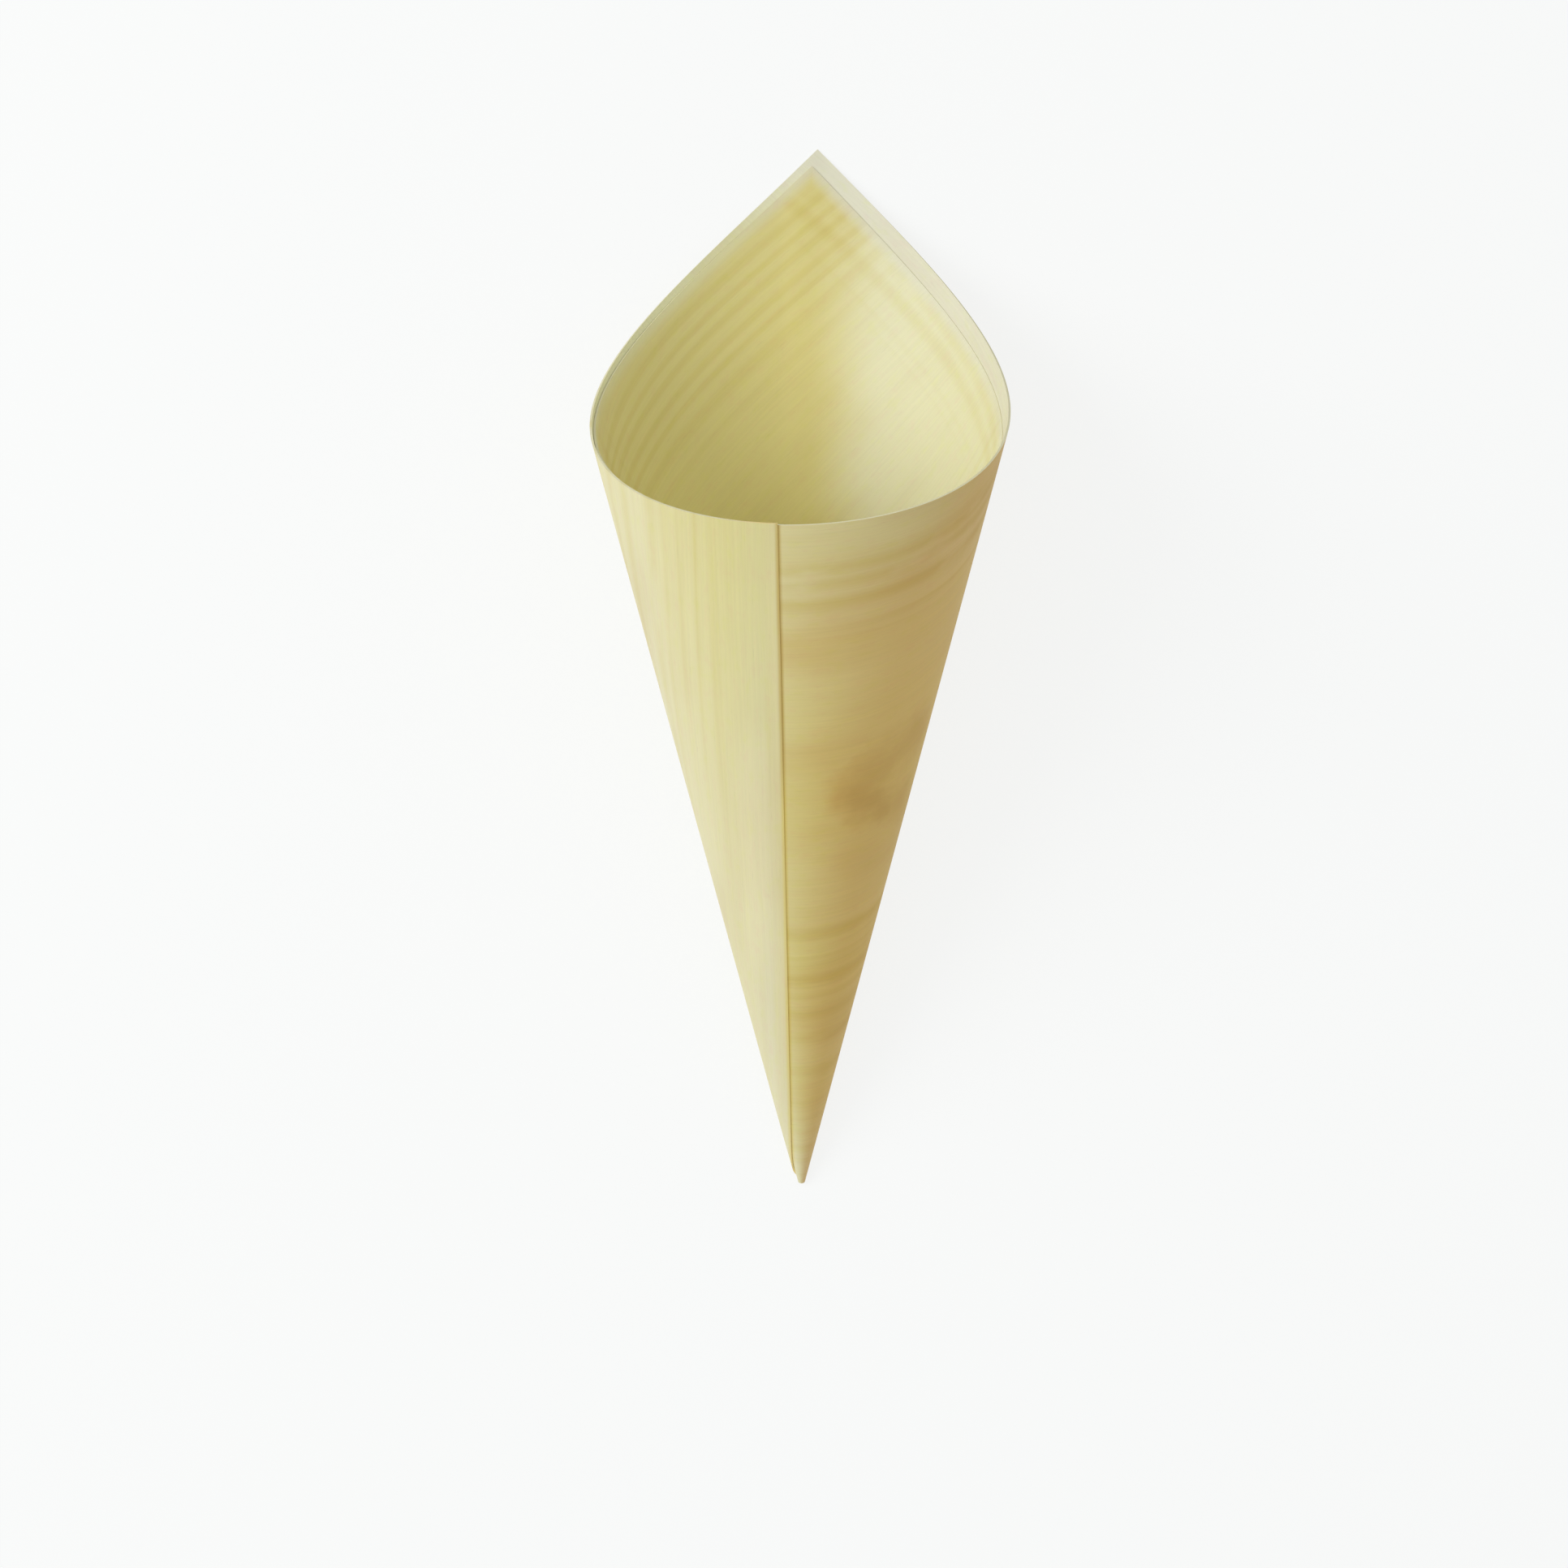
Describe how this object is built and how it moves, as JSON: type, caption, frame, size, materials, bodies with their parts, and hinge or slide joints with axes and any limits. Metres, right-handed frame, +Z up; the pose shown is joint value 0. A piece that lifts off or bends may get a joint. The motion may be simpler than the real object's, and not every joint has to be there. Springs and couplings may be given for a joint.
{
  "type": "wooden food cone",
  "caption": "Pointed serving cone rolled from a thin strip of wood veneer, with a straight lapped seam, a wide slanted mouth and a tall corner at the back; it lies on its side.",
  "frame": {"origin": "centre of the bottom of the box round the cone, on the surface that it lies on", "axes": "+X along the surface from the tip towards the mouth, +Z up, with the lapped seam on top"},
  "size_m": [0.1788, 0.0698, 0.062],
  "materials": {
    "veneer": "bare, matt, peeled veneer with the grain along the strip"
  },
  "bodies": {
    "root": {"rolled_veneer_cone": "veneer"}
  },
  "joints": []
}
